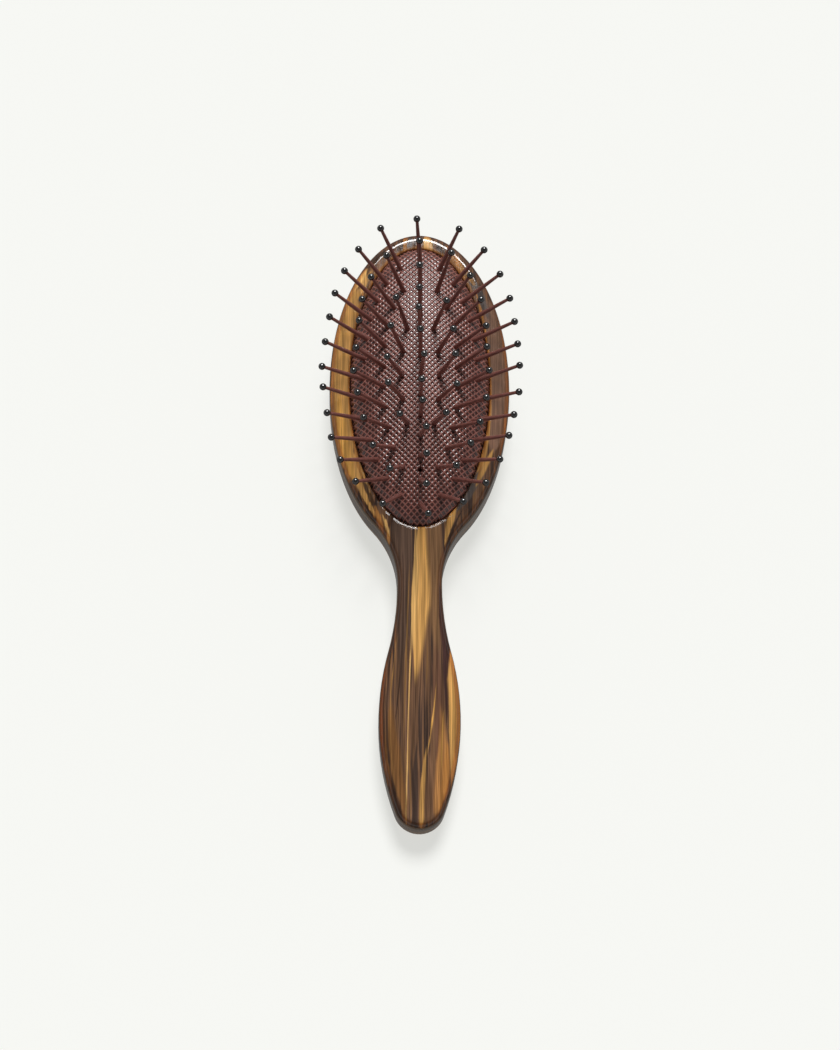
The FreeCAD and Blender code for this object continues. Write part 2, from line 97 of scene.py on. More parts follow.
# Light: a soft key lamp behind the head's end, a sky that is pale at its foot and a floor that glows
KEY_HEIGHT = math.radians(52)
KEY_TURN = math.radians(4)
KEY_SPREAD = math.radians(24)
KEY_STRENGTH = 3.0
SKY_FOOT_STRENGTH = 0.75
SKY_TOP_STRENGTH = 0.15
SKY_TOP_HEIGHT = 0.5
UNDER_STRENGTH = 0.2
FLOOR_GLOW = 0.62
FLOOR_HALF_WIDTH = 20.0

# Colours, linear light
BRIGHT_GOLD = (0.78, 0.45, 0.15)
PALE_GOLD = (0.70, 0.37, 0.108)
GOLD_LINE = (0.66, 0.34, 0.08)
GOLD = (0.58, 0.305, 0.088)
GOLD_BROWN = (0.31, 0.155, 0.045)
FLAME = (0.44, 0.2, 0.062)
ORANGE = (0.42, 0.18, 0.045)
AMBER = (0.30, 0.105, 0.02)
AMBER_BROWN = (0.19, 0.084, 0.026)
TAUPE = (0.23, 0.13, 0.085)
OLIVE_BROWN = (0.22, 0.115, 0.052)
BROWN = (0.17, 0.086, 0.045)
RED_BROWN = (0.15, 0.07, 0.04)
SHADE_BROWN = (0.095, 0.055, 0.037)
DARK_BROWN = (0.058, 0.034, 0.025)
CHARCOAL = (0.10, 0.082, 0.074)
PLUM = (0.06, 0.027, 0.024)
DEEP = (0.048, 0.025, 0.016)
WALL_BROWN = (0.115, 0.074, 0.042)
WALL_SHADE = (0.045, 0.032, 0.022)
# Painted shade: the filter that darkens round edges to a deeper amber
EDGE_SHADE_TINT = (0.65, 0.46, 0.28)
RUBBER = (0.34, 0.122, 0.094)
RUBBER_SHADE = (0.27, 0.095, 0.073)
# Painted shade: the filter that darkens the pits between the cushion's ridges
PAINTED_PIT_SHADE = (0.2, 0.17, 0.17)
NYLON = (0.21, 0.075, 0.06)
NYLON_SHADE = (0.16, 0.056, 0.045)
BALL_BLACK = (0.005, 0.005, 0.005)
FLOOR_GREY = (0.325, 0.3265, 0.319)
FLOOR_GLOW_TINT = (1.0, 1.008, 0.965)
WHITE = (1.0, 1.0, 1.0)

# Finish of each material: its lowest and highest roughness and its index of refraction
ACETATE_ROUGHNESS = (0.04, 0.07)
ACETATE_IOR = 1.55
RUBBER_ROUGHNESS = (0.36, 0.46)
RUBBER_IOR = 1.65
PIT_GLOSS = 0.24
NYLON_ROUGHNESS = (0.34, 0.46)
BALL_ROUGHNESS = (0.09, 0.13)
BALL_IOR = 2.0
FLOOR_ROUGHNESS = 0.9

# Noise of the materials: changes per millimetre across the brush, along it and through it, then the
# number of finer layers and how strongly they show
Grain = namedtuple("Grain", "across along through detail roughness")
WAVER_GRAIN = Grain(0.05, 0.028, 0.06, 1.0, 0.5)
BROAD_GRAIN = Grain(0.30, 0.012, 0.2, 2.0, 0.5)
FINE_GRAIN = Grain(1.5, 0.018, 0.35, 3.0, 0.55)
HAIR_GRAIN = Grain(3.1, 0.035, 0.6, 2.0, 0.6)
SILK_GRAIN = Grain(0.75, 0.022, 0.4, 3.0, 0.6)
WALL_GRAIN = Grain(0.03, 0.022, 0.5, 3.0, 0.55)
POLISH_GRAIN = Grain(0.6, 0.25, 0.6, 3.0, 0.6)
PATCH_GRAIN = Grain(0.35, 0.35, 0.35, 3.0, 0.6)
GRIT_GRAIN = Grain(5.0, 5.0, 5.0, 2.0, 0.6)
CLOUD_GRAIN = Grain(0.9, 0.9, 0.4, 2.0, 0.5)
FILM_GRAIN = Grain(1.5, 1.5, 1.5, 2.0, 0.5)

# Spans of the noise over which one colour or finish gives way to the next, and how much of it shows
NOISE_MIDDLE = 0.5
NARROW_SPAN = (0.35, 0.65)
WIDE_SPAN = (0.3, 0.7)
BROWN_SPAN = (0.41, 0.52)
GOLD_SPAN = (0.58, 0.68)
GOLD_SHARE = 0.7
TAUPE_SPAN = (0.52, 0.7)
TAUPE_SHARE = 0.5
WALL_BROWN_SPAN = (0.38, 0.54)
WALL_GOLD_SPAN = (0.56, 0.68)
WALL_GOLD_SHARE = 0.75

# The plastic's grain: how far it wavers to the side, in millimetres, and how its threads darken and
# lighten the colour
WAVER_WIDTH = 2.2
SILK_SHARES = (0.74, 1.18)
HAIR_SHARES = (0.72, 1.24)

# How far a face points up, from 1 straight up to 0 level: where the painted shade of a round edge, darker
# and deeper amber, begins and where it is full, and the same for the layers of a wall
EDGE_SHADE_FACING = (0.98, 0.8)
WALL_FACING = (0.55, 0.25)

# Edge of the opening, in millimetres: how round it looks, how wide a band has that, and the amber light
# in the band, from its outside inward and from where it begins to where it is full along the brush
EDGE_SOFTNESS = 1.0
EDGE_BAND = 2.0
GLOW_REACH_SHARES = (1.0, 0.94)
GLOW_LENGTH_SPAN = (25.0, 42.0)
GLOW_SHARE = 0.6

# Streaks: how far the grain frays them, in millimetres, how much they cover and where their tips fade
STREAK_FEATHER = 1.1
STREAK_SHARE = 0.92
TIP_FADE_SHARE = 0.3


def streak(colour, half_width, start, middle, end, soft, taper):
    """A streak through three points (y, x), with how soft its two sides are and how its two ends taper."""
    return {
        "colour": colour,
        "half_width": half_width,
        "path": (start, middle, end),
        "soft": soft,
        "taper": taper,
    }


# Streaks, given in millimetres; later ones lie over earlier ones
HANDLE_BANDS = [
    streak(SHADE_BROWN, 3.2, (-40, -7.8), (-66, -5.4), (-104, -7.0), (0.8, 0.3), (6, 20)),
    streak(OLIVE_BROWN, 2.0, (-40, 5.6), (-66, 5.0), (-100, 5.8), (0.9, 0.8), (8, 14)),
    streak(PALE_GOLD, 3.1, (-36, 0.5), (-72, 0.4), (-110, -1.8), (0.12, 1.0), (38, 30)),
    streak(BRIGHT_GOLD, 0.9, (-52, -1.0), (-72, -1.6), (-98, -2.4), (0.3, 0.9), (16, 18)),
    streak(PLUM, 1.5, (-70, 6.4), (-89, 8.3), (-108, 11.0), (0.5, 0.4), (14, 14)),
    streak(PLUM, 0.9, (-92, 7.6), (-104, 8.6), (-122, 9.0), (0.4, 0.4), (10, 14)),
    streak(RED_BROWN, 1.3, (-90, 4.8), (-110, 6.6), (-130, 7.2), (0.6, 0.7), (20, 16)),
    streak(PALE_GOLD, 2.1, (-94, 10.2), (-116, 11.7), (-144, 10.2), (0.4, 0.5), (12, 20)),
    streak(GOLD, 0.6, (-98, 10.6), (-116, 12.0), (-134, 12.0), (0.4, 0.4), (8, 8)),
    streak(FLAME, 2.8, (-112, 6.4), (-134, 7.4), (-154, 4.8), (0.5, 0.8), (30, 10)),
    streak(ORANGE, 1.1, (-126, 8.8), (-138, 8.6), (-152, 6.0), (0.5, 0.5), (10, 8)),
    streak(RED_BROWN, 0.9, (-98, 3.4), (-118, 5.8), (-136, 5.2), (0.5, 0.5), (16, 14)),
    streak(AMBER_BROWN, 2.6, (-112, -9.6), (-134, -8.8), (-156, -4.4), (0.8, 0.9), (18, 8)),
    streak(BROWN, 1.4, (-128, 4.2), (-142, 3.6), (-156, 2.4), (0.6, 0.6), (8, 4)),
    streak(GOLD, 0.75, (-128, 2.2), (-143, 0.9), (-158, 0.6), (0.25, 0.4), (12, 4)),
    streak(DARK_BROWN, 0.9, (-126, -0.8), (-142, -1.6), (-158, -1.4), (0.3, 0.3), (12, 4)),
    streak(DEEP, 0.9, (-136, -9.8), (-147, -7.9), (-157, -4.8), (0.5, 0.5), (12, 6)),
]
LEFT_RIM = [
    streak(GOLD, 3.3, (39, -22.6), (0, -27.5), (-37, -23.6), (0.3, 0.4), (9, 14)),
    streak(GOLD, 1.1, (44, -16.6), (38, -19.6), (31, -22.4), (0.5, 0.5), (4, 5)),
    streak(BRIGHT_GOLD, 1.3, (45, -18.2), (40.5, -20.6), (34, -24.2), (0.5, 0.5), (4, 5)),
    streak(DEEP, 1.3, (52.5, -11.2), (48, -15.2), (44, -18.2), (0.5, 0.5), (3, 3)),
    streak(GOLD, 1.8, (-24, -23.0), (-38, -19.4), (-50, -14.6), (0.4, 0.5), (8, 8)),
    streak(GOLD_LINE, 1.7, (-2, -27.8), (-20, -26.4), (-38, -21.8), (0.5, 0.5), (12, 9)),
    streak(DEEP, 0.8, (-29, -21.6), (-41, -17.2), (-55, -10.4), (0.2, 0.25), (11, 10)),
    streak(DEEP, 0.6, (-40, -20.6), (-50, -15.6), (-60, -11.6), (0.2, 0.2), (8, 8)),
    streak(ORANGE, 1.0, (-44, -15.6), (-49.5, -13.9), (-55, -12.2), (0.4, 0.4), (4, 4)),
    streak(BRIGHT_GOLD, 0.5, (-47, -13.0), (-53, -11.1), (-60, -10.4), (0.2, 0.2), (4, 4)),
]
RIGHT_RIM = [
    streak(TAUPE, 3.4, (34, 24.0), (3, 27.6), (-26, 24.8), (0.5, 0.4), (8, 8)),
    streak(CHARCOAL, 2.4, (44, 14.6), (36, 19.6), (24, 24.6), (0.6, 0.6), (5, 10)),
    streak(ORANGE, 1.2, (54, 9.4), (48, 12.6), (42, 16.2), (0.5, 0.5), (4, 4)),
    streak(GOLD_BROWN, 1.4, (47, 13.6), (42, 16.8), (37.5, 19.6), (0.5, 0.5), (4, 4)),
]
HEAD_END = [
    streak(DEEP, 1.4, (55, 6.4), (51, 7.2), (46, 9.4), (0.5, 0.5), (3, 3)),
    streak(BRIGHT_GOLD, 1.5, (59, 2.4), (53.5, 3.0), (48, 3.6), (0.4, 0.5), (4, 4)),
    streak(ORANGE, 0.9, (58, -4.9), (54, -5.2), (49, -5.6), (0.4, 0.4), (3, 3)),
    streak(CHARCOAL, 0.8, (58, -3.2), (54, -3.5), (49, -3.8), (0.3, 0.3), (3, 3)),
    streak(DEEP, 0.5, (57, -6.0), (53, -6.3), (48, -6.7), (0.2, 0.2), (3, 3)),
    streak(DEEP, 0.5, (55, -9.0), (52, -9.5), (47, -10.3), (0.2, 0.2), (3, 3)),
]
RIGHT_SHOULDER = [
    streak(GOLD, 1.0, (0, 23.7), (-17, 23.1), (-36, 19.4), (0.4, 0.3), (8, 6)),
    streak(CHARCOAL, 1.8, (-28, 23.4), (-38, 17.6), (-47, 12.4), (0.5, 0.5), (6, 5)),
    streak(GOLD, 0.8, (-23, 25.4), (-31, 22.0), (-38, 19.0), (0.4, 0.4), (4, 5)),
    streak(GOLD, 1.2, (-41, 13.2), (-50, 10.4), (-60, 8.2), (0.2, 0.3), (8, 10)),
    streak(DEEP, 0.5, (-44, 15.6), (-53, 11.2), (-64, 8.4), (0.2, 0.2), (8, 8)),
]
HANDLE_LINES = [
    streak(BRIGHT_GOLD, 0.17, (-44, -0.9), (-97, -3.2), (-160, -4.6), (0.1, 0.14), (6, 4)),
    streak(GOLD_LINE, 0.26, (-106, 5.5), (-120, 4.2), (-134, 1.8), (0.12, 0.3), (14, 14)),
    streak(GOLD_LINE, 0.28, (-116, 8.2), (-126, 7.3), (-138, 7.2), (0.2, 0.2), (6, 6)),
    streak(GOLD_BROWN, 0.16, (-88, -6.8), (-116, -9.9), (-146, -7.8), (0.2, 0.2), (20, 24)),
    streak(GOLD_BROWN, 0.2, (-62, -3.4), (-96, -4.6), (-132, -5.4), (0.2, 0.2), (20, 24)),
    streak(DEEP, 0.3, (-86, -8.0), (-116, -11.0), (-144, -8.9), (0.15, 0.15), (10, 10)),
    streak(DEEP, 0.24, (-60, -6.0), (-90, -5.8), (-124, -8.7), (0.15, 0.15), (10, 10)),
    streak(AMBER, 0.5, (-96, -10.8), (-118, -13.0), (-138, -11.6), (0.3, 0.3), (8, 8)),
]
# Painted light: thin orange lines along both sides of the opening and along the right rim's outer edge,
# where the round edges catch amber light
PAINTED_EDGE_LIGHTS = [
    streak(ORANGE, 0.4, (38, side * 18.9), (0, side * 24.5), (-38, side * 18.9), (0.2, 0.2), (8, 8))
    for side in (-1, 1)
]
PAINTED_EDGE_LIGHTS.append(streak(ORANGE, 0.8, (30, 27.2), (3, 30.6), (-28, 27.4), (0.4, 0.4), (8, 8)))
STREAKS = HANDLE_BANDS + LEFT_RIM + RIGHT_RIM + HEAD_END + RIGHT_SHOULDER + HANDLE_LINES + PAINTED_EDGE_LIGHTS


class Graph:
    """The node tree of a material or of the sky, with short ways to add nodes to it."""

    def __init__(self, owner, shader="Principled BSDF"):
        owner.use_nodes = True
        self.owner = owner
        self.tree = owner.node_tree
        self.shader = self.tree.nodes[shader]
        self.coordinate = self.tree.nodes.new("ShaderNodeTexCoord")

    def link(self, socket, value):
        """Feeds a socket from another node's output, or sets it to a number or colour."""
        if isinstance(value, bpy.types.NodeSocket):
            self.tree.links.new(value, socket)
        elif isinstance(value, tuple) and socket.type == "RGBA":
            socket.default_value = (*value, 1.0)
        else:
            socket.default_value = value

    def math(self, operation, first, second=0.0, third=0.0):
        """One sum on up to three numbers."""
        node = self.tree.nodes.new("ShaderNodeMath")
        node.operation = operation
        for socket, value in zip(node.inputs, (first, second, third)):
            self.link(socket, value)
        return node.outputs[0]

    def ramp(self, value, span, reach=(0.0, 1.0), between="SMOOTHSTEP"):
        """The first of reach at the first of span, the second at the second and smooth between them."""
        node = self.tree.nodes.new("ShaderNodeMapRange")
        node.interpolation_type = between
        names = ("Value", "From Min", "From Max", "To Min", "To Max")
        for name, setting in zip(names, (value, *span, *reach)):
            self.link(node.inputs[name], setting)
        return node.outputs[0]

    def slope(self, value, span, reach=(0.0, 1.0)):
        """Like ramp, but straight between the two."""
        return self.ramp(value, span, reach, "LINEAR")

    def mix(self, share, first, second):
        """The first colour with a share of the second; it works for directions too."""
        node = self.tree.nodes.new("ShaderNodeMix")
        node.data_type = "RGBA"
        colours = [socket for socket in node.inputs if socket.type == "RGBA"]
        self.link(node.inputs["Factor"], share)
        self.link(colours[0], first)
        self.link(colours[1], second)
        return next(socket for socket in node.outputs if socket.type == "RGBA")

    def shade(self, colour, factor):
        """The colour made darker or lighter by a factor."""
        node = self.tree.nodes.new("ShaderNodeVectorMath")
        node.operation = "SCALE"
        self.link(node.inputs[0], colour)
        self.link(node.inputs["Scale"], factor)
        return node.outputs[0]

    def tint(self, share, colour, filter_colour):
        """The colour with a share of it seen through a coloured filter."""
        node = self.tree.nodes.new("ShaderNodeVectorMath")
        node.operation = "MULTIPLY"
        self.link(node.inputs[0], colour)
        self.link(node.inputs[1], filter_colour)
        return self.mix(share, colour, node.outputs[0])

    def split(self, output):
        """The x, y and z of one of the coordinates."""
        parts = self.tree.nodes.new("ShaderNodeSeparateXYZ")
        self.tree.links.new(self.coordinate.outputs[output], parts.inputs[0])
        return list(parts.outputs)

    def place(self):
        """The point on the object in millimetres, as x, y and z."""
        return [self.math("DIVIDE", part, MM) for part in self.split("Object")]

    def noise(self, place, grain, turned=False):
        """Cloudy noise from 0 to 1; turned, its axes are swapped, so that it repeats no other noise."""
        rates = (grain.across, grain.along, grain.through)
        scaled = [self.math("MULTIPLY", value, rate) for value, rate in zip(place, rates)]
        joined = self.tree.nodes.new("ShaderNodeCombineXYZ")
        for socket, value in zip(joined.inputs, reversed(scaled) if turned else scaled):
            self.link(socket, value)
        node = self.tree.nodes.new("ShaderNodeTexNoise")
        node.inputs["Scale"].default_value = 1.0
        node.inputs["Detail"].default_value = grain.detail
        node.inputs["Roughness"].default_value = grain.roughness
        self.tree.links.new(joined.outputs[0], node.inputs["Vector"])
        return node.outputs["Fac"]

    def swing(self, noise, width):
        """Noise as a shift to both sides, as wide as given."""
        return self.math("MULTIPLY", self.math("SUBTRACT", noise, NOISE_MIDDLE), width)

    def set(self, **values):
        """Sets the shader's own sockets, with _ for the spaces in their names."""
        for name, value in values.items():
            self.link(self.shader.inputs[name.replace("_", " ")], value)


def parabola(path):
    """The three factors of the parabola x(y) through three points (y, x)."""
    (y0, x0), (y1, x1), (y2, x2) = path
    slope = (x1 - x0) / (y1 - y0)
    bend = ((x2 - x1) / (y2 - y1) - slope) / (y2 - y0)
    return x0 - slope * y0 + bend * y0 * y1, slope - bend * (y0 + y1), bend


def streak_mask(graph, x, y, line):
    """How much of a streak shows at a point: full inside its edges, tapering to a tip at both ends."""
    still, slope, bend = parabola(line["path"])
    middle = graph.math("MULTIPLY_ADD", graph.math("MULTIPLY_ADD", bend, y, slope), y, still)
    aside = graph.math("SUBTRACT", x, middle)
    start, end = line["path"][0][0], line["path"][2][0]
    start_taper, end_taper = line["taper"]
    from_start = graph.slope(y, (start, start - start_taper))
    from_end = graph.slope(y, (end, end + end_taper))
    fade = graph.math("MINIMUM", from_start, from_end)
    right = graph.math("MULTIPLY", fade, line["half_width"])
    left = graph.math("MULTIPLY", right, -1.0)
    soft_left, soft_right = line["soft"]
    left_span = (graph.math("SUBTRACT", left, soft_left), graph.math("ADD", left, soft_left))
    right_span = (graph.math("ADD", right, soft_right), graph.math("SUBTRACT", right, soft_right))
    inside = graph.math("MULTIPLY", graph.ramp(aside, left_span), graph.ramp(aside, right_span))
    return graph.math("MULTIPLY", graph.ramp(fade, (0.0, TIP_FADE_SHARE)), inside)


def opening_reach(graph, x, y):
    """How far out a point lies, squared: 0 in the cushion's middle, 1 where the opening's band ends."""
    across = graph.math("DIVIDE", x, PAD_HALF_WIDTH + EDGE_BAND)
    along = graph.math("DIVIDE", y, PAD_HALF_LENGTH + EDGE_BAND)
    squares = [graph.math("MULTIPLY", way, way) for way in (across, along)]
    return graph.math("ADD", *squares)


def streaked_colour(graph, place):
    """Brown plastic with its grain, the streaks over it and amber light at the opening's head end."""
    x, y, z = place
    grain_x = graph.math("ADD", x, graph.swing(graph.noise(place, WAVER_GRAIN), WAVER_WIDTH))
    grain_place = (grain_x, y, z)
    broad = graph.noise(grain_place, BROAD_GRAIN)
    fine = graph.noise(grain_place, FINE_GRAIN)
    hair = graph.noise(grain_place, HAIR_GRAIN)
    silk = graph.noise(grain_place, SILK_GRAIN, turned=True)
    colour = graph.mix(graph.ramp(fine, BROWN_SPAN), DARK_BROWN, BROWN)
    colour = graph.mix(graph.ramp(fine, GOLD_SPAN, (0.0, GOLD_SHARE)), colour, GOLD_BROWN)
    colour = graph.mix(graph.ramp(broad, TAUPE_SPAN, (0.0, TAUPE_SHARE)), colour, TAUPE)
    feather = graph.swing(fine, STREAK_FEATHER)
    streak_x = graph.math("ADD", x, feather)
    streak_y = graph.math("ADD", y, feather)
    for line in STREAKS:
        mask = streak_mask(graph, streak_x, streak_y, line)
        colour = graph.mix(graph.math("MULTIPLY", mask, STREAK_SHARE), colour, line["colour"])
    length_glow = graph.ramp(y, GLOW_LENGTH_SPAN, (0.0, GLOW_SHARE))
    glow = graph.math("MULTIPLY", graph.ramp(opening_reach(graph, x, y), GLOW_REACH_SHARES), length_glow)
    colour = graph.mix(glow, colour, ORANGE)
    colour = graph.shade(colour, graph.ramp(silk, NARROW_SPAN, SILK_SHARES))
    return graph.shade(colour, graph.ramp(hair, NARROW_SPAN, HAIR_SHARES))


def wall_colour(graph, place):
    """The layers of the sheet that show on the body's walls: dark, brown and here and there gold."""
    layers = graph.noise(place, WALL_GRAIN)
    colour = graph.mix(graph.ramp(layers, WALL_BROWN_SPAN), WALL_SHADE, WALL_BROWN)
    return graph.mix(graph.ramp(layers, WALL_GOLD_SPAN, (0.0, WALL_GOLD_SHARE)), colour, GOLD_BROWN)


def soft_edge(graph, place):
    """The surface's own direction, but rounded over at the edge of the opening."""
    rounded = graph.tree.nodes.new("ShaderNodeBevel")
    rounded.inputs["Radius"].default_value = EDGE_SOFTNESS * MM
    plain = graph.tree.nodes.new("ShaderNodeNewGeometry")
    beside_opening = graph.math("LESS_THAN", opening_reach(graph, *place[:2]), 1.0)
    return graph.mix(beside_opening, plain.outputs["Normal"], rounded.outputs["Normal"])


def acetate():
    """Polished sheet plastic: streaks along the brush, painted shade of deeper amber on round edges, layers
    on its walls.
    """
    graph = Graph(bpy.data.materials.new("acetate"))
    place = graph.place()
    colour = streaked_colour(graph, place)
    facing = graph.split("Normal")[2]
    # Painted shade: round edges are darkened to a deeper amber as they turn away from straight up
    colour = graph.tint(graph.ramp(facing, EDGE_SHADE_FACING), colour, EDGE_SHADE_TINT)
    colour = graph.mix(graph.ramp(facing, WALL_FACING), colour, wall_colour(graph, place))
    polish = graph.ramp(graph.noise(place, POLISH_GRAIN), WIDE_SPAN, ACETATE_ROUGHNESS)
    graph.set(Base_Color=colour, Roughness=polish, IOR=ACETATE_IOR, Normal=soft_edge(graph, place))
    return graph.owner


def rubber():
    """The cushion's satin rubber, a little darker in patches, with painted shade in the glossy pits between
    the ridges.
    """
    graph = Graph(bpy.data.materials.new("cushion_rubber"))
    place = graph.place()
    sums = [graph.math(sign, place[0], place[1]) for sign in ("ADD", "SUBTRACT")]
    diagonals = [graph.math("DIVIDE", total, DIAGONAL) for total in sums]
    to_ridge = [graph.math("PINGPONG", way, RIDGE_PITCH / 2) for way in diagonals]
    pit_shade_and_gloss = graph.ramp(graph.math("MINIMUM", *to_ridge), (RIDGE_HALF_WIDTH, PIT_EDGE))
    patch = graph.noise(place, PATCH_GRAIN)
    colour = graph.mix(graph.ramp(patch, NARROW_SPAN), RUBBER_SHADE, RUBBER)
    # Painted shade: the pits are darkened as if shade lay in them; the same mask also makes them glossier
    colour = graph.tint(pit_shade_and_gloss, colour, PAINTED_PIT_SHADE)
    satin = graph.ramp(graph.noise(place, GRIT_GRAIN), WIDE_SPAN, RUBBER_ROUGHNESS)
    gloss = graph.math("MULTIPLY", pit_shade_and_gloss, PIT_GLOSS)
    graph.set(Base_Color=colour, Roughness=graph.math("SUBTRACT", satin, gloss), IOR=RUBBER_IOR)
    return graph.owner


def nylon():
    """The pins' satin nylon, with faint cloudiness."""
    graph = Graph(bpy.data.materials.new("pin_nylon"))
    cloud = graph.noise(graph.place(), CLOUD_GRAIN)
    colour = graph.mix(graph.ramp(cloud, WIDE_SPAN), NYLON_SHADE, NYLON)
    graph.set(Base_Color=colour, Roughness=graph.ramp(cloud, WIDE_SPAN, NYLON_ROUGHNESS))
    return graph.owner


def ball_resin():
    """The glossy black of the ball tips, with a faint film."""
    graph = Graph(bpy.data.materials.new("tip_resin"))
    film = graph.ramp(graph.noise(graph.place(), FILM_GRAIN), WIDE_SPAN, BALL_ROUGHNESS)
    graph.set(Base_Color=BALL_BLACK, Roughness=film, IOR=BALL_IOR)
    return graph.owner


def dome_height(x, y):
    """Height of the cushion's face over its edge; past the edge it goes on below."""
    room = 1 - (x / PAD_HALF_WIDTH) ** 2 - (y / PAD_HALF_LENGTH) ** 2
    return PAD_RISE * np.sign(room) * np.sqrt(np.abs(room))


def patterned_face():
    """Points and faces of the dome with its ridges along both diagonals, open at the vent."""
    steps = len(PIT_SHARES)
    step = RIDGE_PITCH / steps
    reach = math.ceil((PAD_HALF_WIDTH + PAD_HALF_LENGTH) / DIAGONAL / step)
    counts = np.arange(-reach, reach + 1)
    first, second = np.meshgrid(counts, counts, indexing="ij")
    x = (first + second) * step / DIAGONAL
    y = (first - second) * step / DIAGONAL
    height = dome_height(x, y)
    outward = np.stack([x / PAD_HALF_WIDTH**2, y / PAD_HALF_LENGTH**2, height / PAD_RISE**2], axis=-1)
    outward /= np.linalg.norm(outward, axis=-1, keepdims=True)
    shares = np.array(PIT_SHARES)
    depth = PIT_DEPTH * np.minimum(shares[first % steps], shares[second % steps])
    point = np.stack([x, y, height + PAD_FLOOR], axis=-1) - outward * depth[..., None]

    # Only points over the cushion and clear of the vent are kept, and faces whose four corners all are
    margin = SPARE_STEPS * step
    kept = np.hypot(x / (PAD_HALF_WIDTH + margin), y / (PAD_HALF_LENGTH + margin)) < 1
    kept &= np.hypot(x, y - VENT_Y) > VENT_RADIUS + VENT_LIP + step
    number = np.full(kept.shape, -1)
    number[kept] = np.arange(kept.sum())
    corners = [number[:-1, :-1], number[1:, :-1], number[1:, 1:], number[:-1, 1:]]
    whole = np.all([corner >= 0 for corner in corners], axis=0)
    faces = np.stack([corner[whole] for corner in corners], axis=-1)
    return point[kept], faces


def turns(count):
    """Angles of evenly spaced points round a ring."""
    return [2 * math.pi * n / count for n in range(count)]


def oval(half_width, half_length, height):
    """Points of a level oval, in metres."""
    dots = [(half_width * math.cos(t), half_length * math.sin(t)) for t in turns(SKIRT_POINTS)]
    return [(x * MM, y * MM, height * MM) for x, y in dots]


def vent_circle(radius, drop):
    """Points of a circle round the vent, in metres, laid on the dome and let down by drop."""
    dots = [(radius * math.cos(t), VENT_Y + radius * math.sin(t)) for t in turns(VENT_POINTS)]
    return [(x * MM, y * MM, (PAD_FLOOR + dome_height(x, y) - drop) * MM) for x, y in dots]


def add_ring(shape, points):
    """New corners of the shape at the points of a ring."""
    return [shape.verts.new(point) for point in points]


def join_rings(shape, rings):
    """Bands of faces from each ring to the next, corner by corner."""
    for here, there in zip(rings, rings[1:]):
        for n in range(len(here)):
            shape.faces.new((here[n - 1], here[n], there[n], there[n - 1]))


def finish_piece(shape, name, material, body):
    """Turns a built shape into a smooth piece that stands for the cushion's solid and rides on a body."""
    bmesh.ops.recalc_face_normals(shape, faces=shape.faces)
    for face in shape.faces:
        face.smooth = True
    mesh = bpy.data.meshes.new(name)
    shape.to_mesh(mesh)
    shape.free()
    mesh.materials.append(material)
    piece = bpy.data.objects.new(name, mesh)
    bpy.context.scene.collection.objects.link(piece)
    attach(piece, body)
    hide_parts("cushion_pad")
    return piece


def patterned_shape():
    """The patterned face as a shape, cut off level at the cushion's edge."""
    points, faces = patterned_face()
    sheet = bpy.data.meshes.new("patterned_sheet")
    sheet.from_pydata((points * MM).tolist(), [], faces.tolist())
    shape = bmesh.new()
    shape.from_mesh(sheet)
    bpy.data.meshes.remove(sheet)
    everything = list(shape.verts) + list(shape.edges) + list(shape.faces)
    level = {"plane_co": (0, 0, PAD_FLOOR * MM), "plane_no": (0, 0, 1)}
    bmesh.ops.bisect_plane(shape, geom=everything, clear_inner=True, **level)
    return shape


def close_below(shape, edges):
    """A flat floor from the cushion's edge to its middle."""
    hub = shape.verts.new((0, 0, PAD_FLOOR * MM))
    for edge in edges:
        shape.faces.new((*edge.verts, hub))


def add_vent(shape, edges):
    """A round lip, an upright wall and a floor in the gap that was left for the vent."""
    lip = add_ring(shape, vent_circle(VENT_RADIUS + VENT_LIP, 0.0))
    throat = add_ring(shape, vent_circle(VENT_RADIUS, VENT_LIP_DROP))
    vent_floor = add_ring(shape, vent_circle(VENT_RADIUS, VENT_DEPTH))
    lip_edges = [shape.edges.new((dot, after)) for dot, after in zip(lip, lip[1:] + lip[:1])]
    bmesh.ops.bridge_loops(shape, edges=edges + lip_edges)
    join_rings(shape, [lip, throat, vent_floor])
    shape.faces.new(vent_floor)


def make_cushion_face(material):
    """The domed face: patterned, flat below, with its vent."""
    shape = patterned_shape()
    open_edges = [edge for edge in shape.edges if edge.is_boundary]
    near_vent = VENT_SEARCH_SHARE * (VENT_RADIUS + VENT_LIP) * MM
    vent_at = Vector((0, VENT_Y * MM, 0))
    vent_edges = [edge for edge in open_edges if (edge.verts[0].co - vent_at).xy.length < near_vent]
    close_below(shape, [edge for edge in open_edges if edge not in vent_edges])
    add_vent(shape, vent_edges)
    piece = finish_piece(shape, "cushion_face", material, "cushion")
    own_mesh(piece)


def make_cushion_edge(material):
    """The foot of the cushion, held still by the rim: a short upright skirt and the bead in its groove."""
    low = PAD_LOW[2]
    top = low + BEAD_THICKNESS
    section = [
        (0.0, PAD_FLOOR),
        (0.0, top),
        (BEAD_OVERHANG - BEAD_CORNER, top),
        (BEAD_OVERHANG, top - BEAD_CORNER),
        (BEAD_OVERHANG, low + BEAD_CORNER),
        (BEAD_OVERHANG - BEAD_CORNER, low),
        (-SKIRT_WALL, low),
        (-SKIRT_WALL, PAD_FLOOR),
    ]
    shape = bmesh.new()
    ovals = [oval(PAD_HALF_WIDTH + out, PAD_HALF_LENGTH + out, height) for out, height in section]
    rings = [add_ring(shape, points) for points in ovals]
    join_rings(shape, rings + rings[:1])
    finish_piece(shape, "cushion_edge", material, "handle")


def dress(prefix, material):
    """Gives every construction node whose name starts with prefix this material."""
    for name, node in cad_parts.items():
        if name.startswith(prefix):
            node.data.materials.clear()
            node.data.materials.append(material)


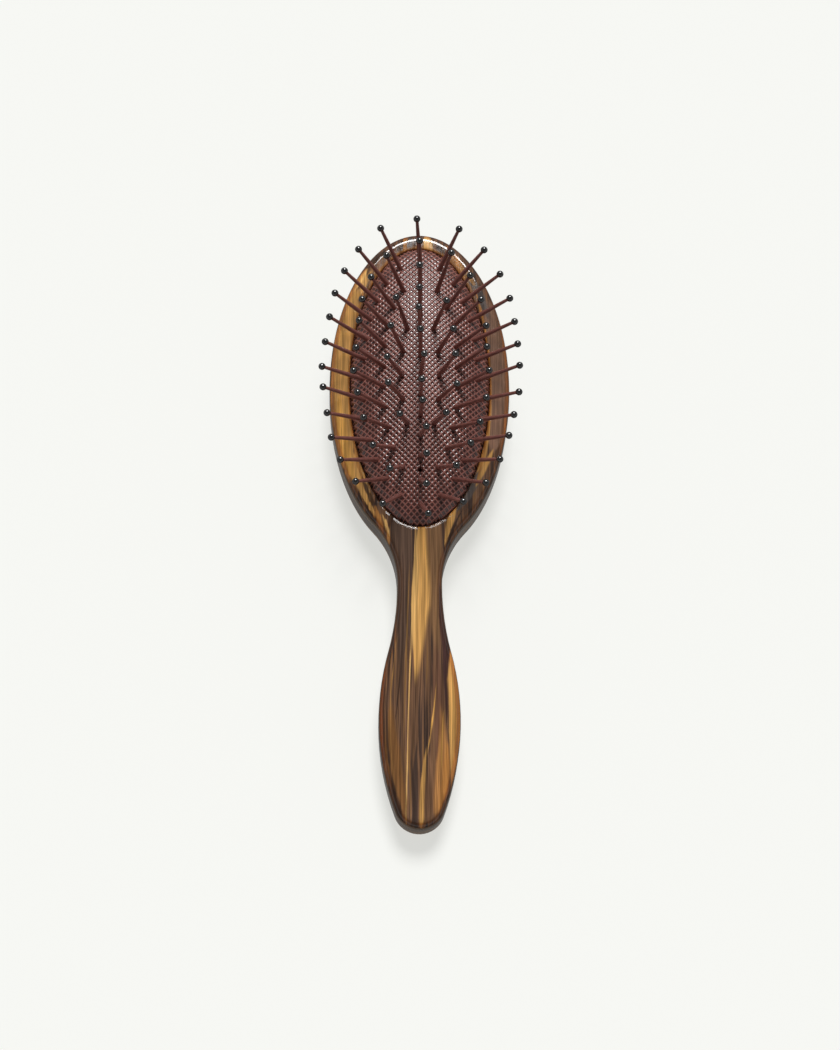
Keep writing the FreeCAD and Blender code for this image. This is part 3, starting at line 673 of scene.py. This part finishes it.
def make_key_light():
    """A soft lamp high behind the head's end."""
    lamp = bpy.data.lights.new("key", "SUN")
    lamp.energy = KEY_STRENGTH
    lamp.angle = KEY_SPREAD
    holder = bpy.data.objects.new("key", lamp)
    level = math.cos(KEY_HEIGHT)
    toward = Vector((level * math.sin(KEY_TURN), level * math.cos(KEY_TURN), math.sin(KEY_HEIGHT)))
    holder.rotation_euler = toward.to_track_quat("Z", "Y").to_euler()
    holder.location = toward
    bpy.context.scene.collection.objects.link(holder)


def make_floor():
    """A wide plain pale floor, which the polished walls don't mirror."""
    half = FLOOR_HALF_WIDTH
    mesh = bpy.data.meshes.new("floor")
    corners = [(-half, -half, 0), (half, -half, 0), (half, half, 0), (-half, half, 0)]
    mesh.from_pydata(corners, [], [(0, 1, 2, 3)])
    graph = Graph(bpy.data.materials.new("floor"))
    graph.set(Base_Color=FLOOR_GREY, Roughness=FLOOR_ROUGHNESS, Specular_IOR_Level=0.0)
    graph.set(Emission_Color=FLOOR_GLOW_TINT, Emission_Strength=FLOOR_GLOW)
    mesh.materials.append(graph.owner)
    floor = bpy.data.objects.new("floor", mesh)
    bpy.context.scene.collection.objects.link(floor)
    floor.visible_glossy = False


def make_camera():
    """The photo's view: nearly from above, tipped toward the handle and a little to the left."""
    lens = bpy.data.cameras.new("camera")
    lens.lens = CAMERA_LENS
    holder = bpy.data.objects.new("camera", lens)
    back = Vector((-math.sin(CAMERA_PAN), -math.sin(CAMERA_TILT), math.cos(CAMERA_TILT))).normalized()
    right = (Vector((1, 0, 0)) - back * back.x).normalized()
    turn = Matrix((right, back.cross(right), back)).transposed()
    turn = turn @ Matrix.Rotation(CAMERA_ROLL, 3, "Z")
    eye = (Vector(CAMERA_AIM) + back * CAMERA_DISTANCE) * MM
    holder.matrix_world = Matrix.Translation(eye) @ turn.to_4x4()
    bpy.context.scene.collection.objects.link(holder)
    bpy.context.scene.camera = holder


def make_world():
    """Soft light from all round: pale at the horizon, dim overhead and below the floor."""
    graph = Graph(bpy.data.worlds.new("studio"), "Background")
    height = graph.split("Generated")[2]
    sky = graph.slope(height, (0.0, SKY_TOP_HEIGHT), (SKY_FOOT_STRENGTH, SKY_TOP_STRENGTH))
    above = graph.math("GREATER_THAN", height, 0.0)
    over_under = graph.math("SUBTRACT", sky, UNDER_STRENGTH)
    strength = graph.math("MULTIPLY_ADD", above, over_under, UNDER_STRENGTH)
    graph.set(Color=WHITE, Strength=strength)
    bpy.context.scene.world = graph.owner


dress("brush_body", acetate())
dress("pin_row", nylon())
dress("tip_row", ball_resin())
cushion_rubber = rubber()
make_cushion_face(cushion_rubber)
make_cushion_edge(cushion_rubber)
make_floor()
make_camera()
make_world()
make_key_light()
bpy.context.scene.view_settings.view_transform = "Standard"
bpy.context.view_layer.update()
